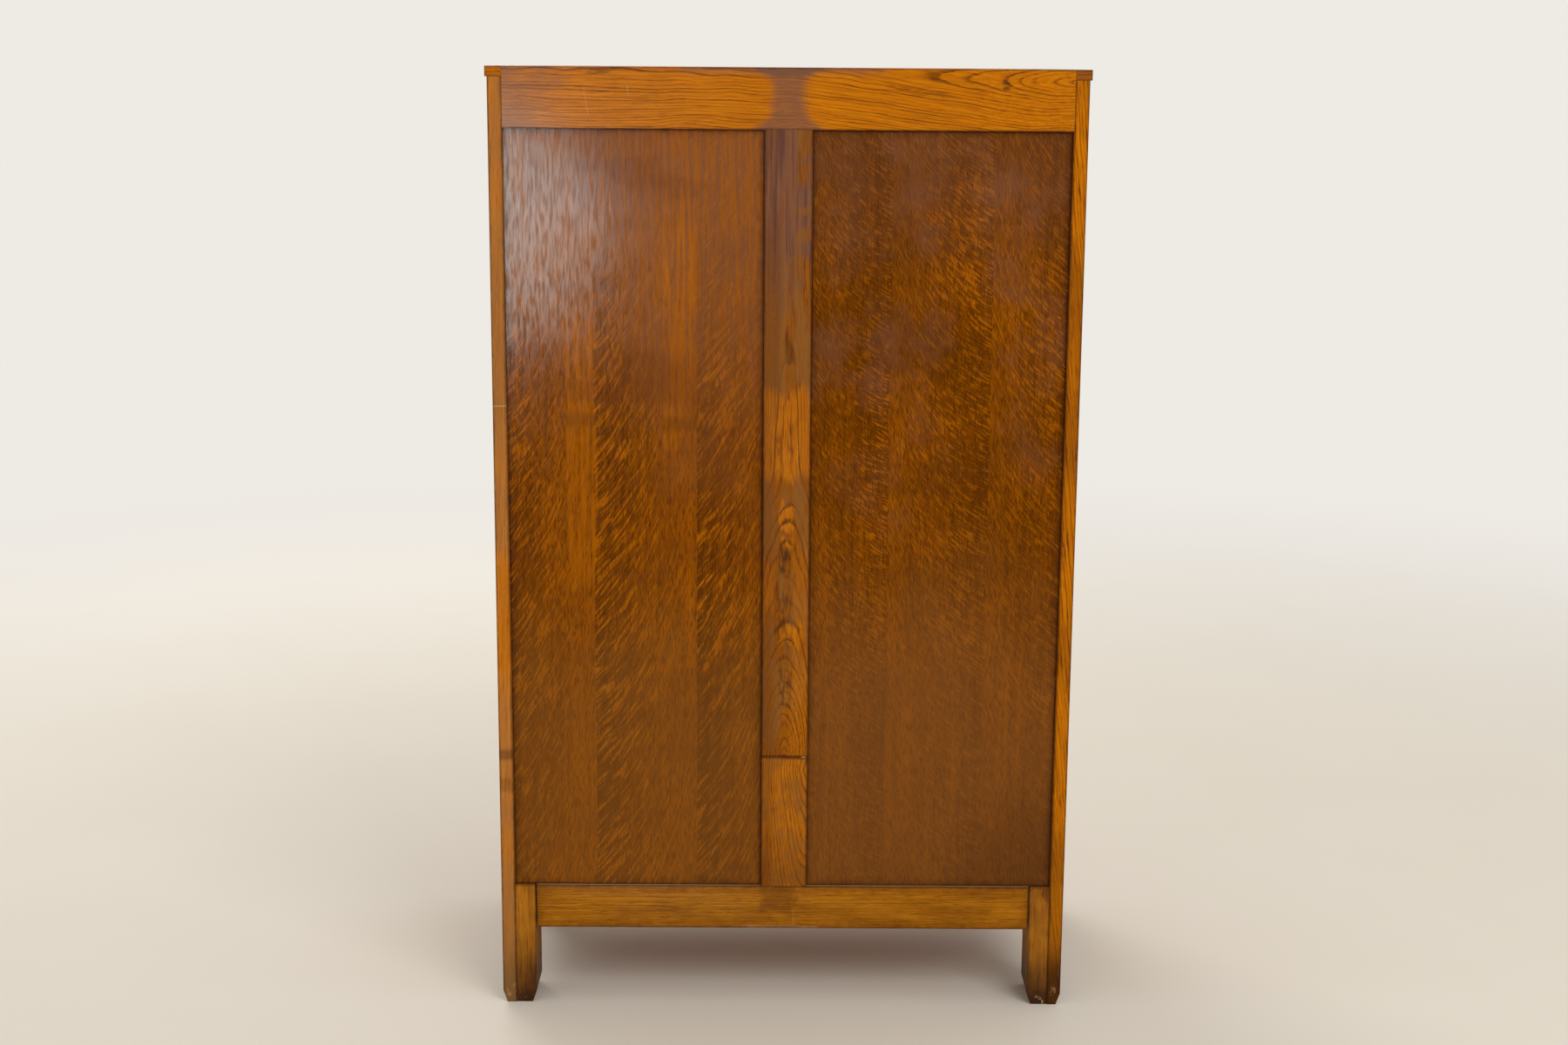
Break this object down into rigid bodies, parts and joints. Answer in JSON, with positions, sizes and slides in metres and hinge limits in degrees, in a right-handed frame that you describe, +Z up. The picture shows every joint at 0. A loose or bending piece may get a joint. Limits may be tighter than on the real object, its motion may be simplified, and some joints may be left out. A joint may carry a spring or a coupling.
{
  "type": "tambour cabinet",
  "caption": "Upright oak office cabinet with a framed and panelled back, a roll-up tambour front with knobs and a lock, and shelves behind it",
  "frame": {"origin": "on the floor, in the middle of the footprint", "axes": "+Z up; the panelled back, which the picture shows, faces +Y and the tambour front faces -Y; +X is the right side as seen from the front"},
  "size_m": [0.806, 0.43, 1.32],
  "materials": {
    "frame_oak": "old glossy varnish on solid oak, orange brown",
    "panel_oak": "glossy varnish on quarter-sawn oak veneer, dark brown",
    "inner_oak": "thin varnish on oak",
    "plain_wood": "bare wood and plywood",
    "tambour_oak": "satin varnish on oak",
    "canvas": "linen canvas, brushed with glue",
    "brass": "worn brass",
    "steel": "plain steel, darkened with age"
  },
  "bodies": {
    "cabinet": {"top_board": "frame_oak", "back_top_rail": "frame_oak", "back_bottom_rail": "frame_oak", "back_muntin_upper": "frame_oak", "back_muntin_lower": "frame_oak", "back_panel_left": "panel_oak", "back_panel_right": "panel_oak", "side_rear_stile_left": "frame_oak", "side_front_stile_left": "frame_oak", "side_top_rail_left": "frame_oak", "side_bottom_rail_left": "frame_oak", "side_panel_left": "panel_oak", "rear_leg_block_left": "frame_oak", "front_leg_block_left": "frame_oak", "front_track_left": "inner_oak", "rear_track_left": "inner_oak", "top_track_left": "inner_oak", "side_rear_stile_right": "frame_oak", "side_front_stile_right": "frame_oak", "side_top_rail_right": "frame_oak", "side_bottom_rail_right": "frame_oak", "side_panel_right": "panel_oak", "rear_leg_block_right": "frame_oak", "front_leg_block_right": "frame_oak", "front_track_right": "inner_oak", "rear_track_right": "inner_oak", "top_track_right": "inner_oak", "front_lintel": "frame_oak", "front_bottom_rail": "frame_oak", "bottom_board": "inner_oak", "inner_ceiling": "plain_wood", "inner_back": "plain_wood", "shelf_lower": "inner_oak", "shelf_upper": "inner_oak", "shelf_pegs": "plain_wood", "top_fixing_blocks": "plain_wood", "bottom_glue_blocks": "plain_wood", "track_screws": "steel", "strike_plate": "steel", "strike_screws": "steel"},
    "shutter": {"lead_rail": "tambour_oak", "canvas_batten": "plain_wood", "tambour_slats": "tambour_oak", "tambour_canvas": "canvas", "knob_left": "tambour_oak", "knob_right": "tambour_oak", "knob_screws": "steel", "lock_case": "steel", "lock_screws": "steel", "escutcheon": "brass", "escutcheon_pins": "brass"},
    "lock_bolt": {"lock_bolt": "steel"},
    "key": {"key": "brass"}
  },
  "joints": [
    {"name": "shutter_slide", "type": "slide", "parent": "cabinet", "child": "shutter", "axis": [0, 0, 1], "range_m": [0, 0.99], "deforming": ["tambour_slats", "tambour_canvas"]},
    {"name": "key_turn", "type": "hinge", "parent": "shutter", "child": "key", "pos_m": [0, -0.1855, 0.2203], "axis": [0, 1, 0], "range_deg": [0, 90]},
    {"name": "bolt_slide", "type": "slide", "parent": "shutter", "child": "lock_bolt", "axis": [0, 0, -1], "range_m": [0, 0.008]}
  ],
  "couplings": [
    {"joint": "key_turn", "follows": "bolt_slide", "rad_per_m": 196.3}
  ]
}
